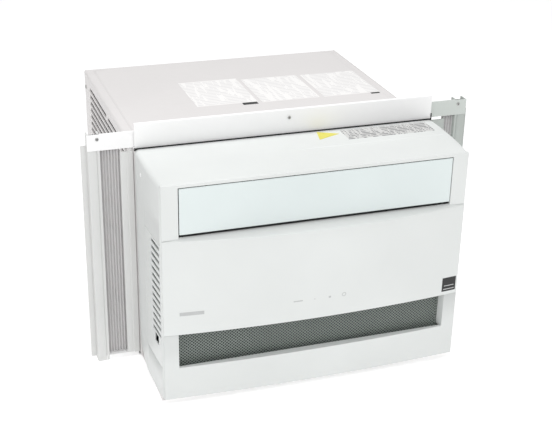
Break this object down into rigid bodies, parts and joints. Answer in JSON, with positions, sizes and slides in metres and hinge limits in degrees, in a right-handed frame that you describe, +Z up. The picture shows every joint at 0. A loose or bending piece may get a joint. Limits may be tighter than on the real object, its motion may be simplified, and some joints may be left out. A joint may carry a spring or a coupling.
{
  "type": "window air conditioner",
  "caption": "White window air conditioner with a bowed front, swinging outlet flap, side-pull filter, louvred cabinet, window rails and sliding pleated side curtains.",
  "frame": {"origin": "on the supporting surface, under the middle of the unit's overall box", "axes": "+X to the right of someone facing the front in the room, +Y to the outdoor side, +Z up"},
  "size_m": [0.6332, 0.5782, 0.4017],
  "materials": {
    "cover_white": "satin moulded",
    "flap_white": "gloss",
    "cabinet_white": "powder coat",
    "rail_white": "satin moulded",
    "mesh_grey": "fine mesh",
    "pleat_grey": "folded sheet",
    "inner_black": "moulded",
    "duct_white": "moulded foam",
    "filter_frame": "moulded",
    "galvanised": "zinc coated",
    "fin_aluminium": "thin fins",
    "copper": "drawn tube",
    "compressor_black": "enamel",
    "board_green": "circuit board",
    "rubber_black": "moulded",
    "screw_steel": "plated"
  },
  "bodies": {
    "housing": {"base_pan": "cabinet_white", "cabinet": "cabinet_white", "rear_grille": "cabinet_white", "front_cover": "cover_white", "cord_gland": "rubber_black", "front_bezel": "cover_white", "front_panel": "cover_white", "lower_fascia": "cover_white", "intake_grille": "mesh_grey", "flap_bearing_left": "inner_black", "flap_bearing_right": "inner_black", "flap_motor": "galvanised", "outlet_duct": "duct_white", "evaporator_coil": "fin_aluminium", "drain_tray": "inner_black", "temperature_sensor": "copper", "inlet_ring": "duct_white", "scroll_housing": "duct_white", "bulkhead": "galvanised", "fan_motor": "galvanised", "motor_bracket": "galvanised", "fan_shroud": "inner_black", "condenser_coil": "fin_aluminium", "compressor": "compressor_black", "compressor_grommet_1": "rubber_black", "compressor_grommet_2": "rubber_black", "compressor_grommet_3": "rubber_black", "accumulator": "compressor_black", "discharge_pipe": "copper", "suction_pipe": "copper", "liquid_pipe": "copper", "capillary_tube": "copper", "control_box": "galvanised", "control_board": "board_green", "capacitor": "galvanised", "display_board": "board_green", "top_rail": "rail_white", "rail_screw": "screw_steel", "bottom_rail": "rail_white", "left_retainer": "rail_white", "right_retainer": "rail_white", "left_accordion": "pleat_grey", "right_accordion": "pleat_grey"},
    "flap": {"outlet_flap": "flap_white"},
    "rotor": {"motor_shaft": "screw_steel", "blower_wheel": "inner_black", "condenser_fan": "inner_black"},
    "filter": {"air_filter": "filter_frame", "filter_door": "cover_white"},
    "left_curtain": {"left_curtain_frame": "rail_white", "left_curtain_screw": "screw_steel"},
    "right_curtain": {"right_curtain_frame": "rail_white", "right_curtain_screw": "screw_steel"},
    "link": {"vane_link": "inner_black"},
    "vane_body_1": {"vane_1": "inner_black"},
    "vane_body_2": {"vane_2": "inner_black"},
    "vane_body_3": {"vane_3": "inner_black"},
    "vane_body_4": {"vane_4": "inner_black"},
    "vane_body_5": {"vane_5": "inner_black"},
    "vane_body_6": {"vane_6": "inner_black"}
  },
  "joints": [
    {"name": "flap_hinge", "type": "hinge", "parent": "housing", "child": "flap", "pos_m": [0, -0.25865, 0.2866], "axis": [1, 0, 0], "range_deg": [0, 70]},
    {"name": "rotor_spin", "type": "hinge", "parent": "housing", "child": "rotor", "pos_m": [-0.06, 0.03085, 0.1581], "axis": [0, 1, 0], "continuous": true},
    {"name": "filter_slide", "type": "slide", "parent": "housing", "child": "filter", "axis": [-1, 0, 0], "range_m": [0, 0.38]},
    {"name": "left_curtain_slide", "type": "slide", "parent": "housing", "child": "left_curtain", "axis": [-1, 0, 0], "range_m": [0, 0.2], "deforming": ["left_accordion"]},
    {"name": "right_curtain_slide", "type": "slide", "parent": "housing", "child": "right_curtain", "axis": [1, 0, 0], "range_m": [0, 0.2], "deforming": ["right_accordion"]},
    {"name": "vane_1_turn", "type": "hinge", "parent": "housing", "child": "vane_body_1", "pos_m": [-0.165, -0.23315, 0.312], "axis": [0, 0, 1], "range_deg": [-25, 25]},
    {"name": "vane_2_turn", "type": "hinge", "parent": "housing", "child": "vane_body_2", "pos_m": [-0.099, -0.23315, 0.312], "axis": [0, 0, 1], "range_deg": [-26, 26]},
    {"name": "vane_3_turn", "type": "hinge", "parent": "housing", "child": "vane_body_3", "pos_m": [-0.033, -0.23315, 0.312], "axis": [0, 0, 1], "range_deg": [-26, 26]},
    {"name": "vane_4_turn", "type": "hinge", "parent": "housing", "child": "vane_body_4", "pos_m": [0.033, -0.23315, 0.312], "axis": [0, 0, 1], "range_deg": [-26, 26]},
    {"name": "vane_5_turn", "type": "hinge", "parent": "housing", "child": "vane_body_5", "pos_m": [0.099, -0.23315, 0.312], "axis": [0, 0, 1], "range_deg": [-26, 26]},
    {"name": "vane_6_turn", "type": "hinge", "parent": "housing", "child": "vane_body_6", "pos_m": [0.165, -0.23315, 0.312], "axis": [0, 0, 1], "range_deg": [-26, 26]},
    {"name": "link_swing", "type": "hinge", "parent": "vane_body_1", "child": "link", "pos_m": [-0.165, -0.21915, 0.3434], "axis": [0, 0, 1], "range_deg": [-26, 26]}
  ],
  "couplings": [
    {"joint": "vane_2_turn", "follows": "vane_1_turn", "ratio": 1},
    {"joint": "vane_3_turn", "follows": "vane_1_turn", "ratio": 1},
    {"joint": "vane_4_turn", "follows": "vane_1_turn", "ratio": 1},
    {"joint": "vane_5_turn", "follows": "vane_1_turn", "ratio": 1},
    {"joint": "vane_6_turn", "follows": "vane_1_turn", "ratio": 1},
    {"joint": "link_swing", "follows": "vane_1_turn", "ratio": -1}
  ]
}
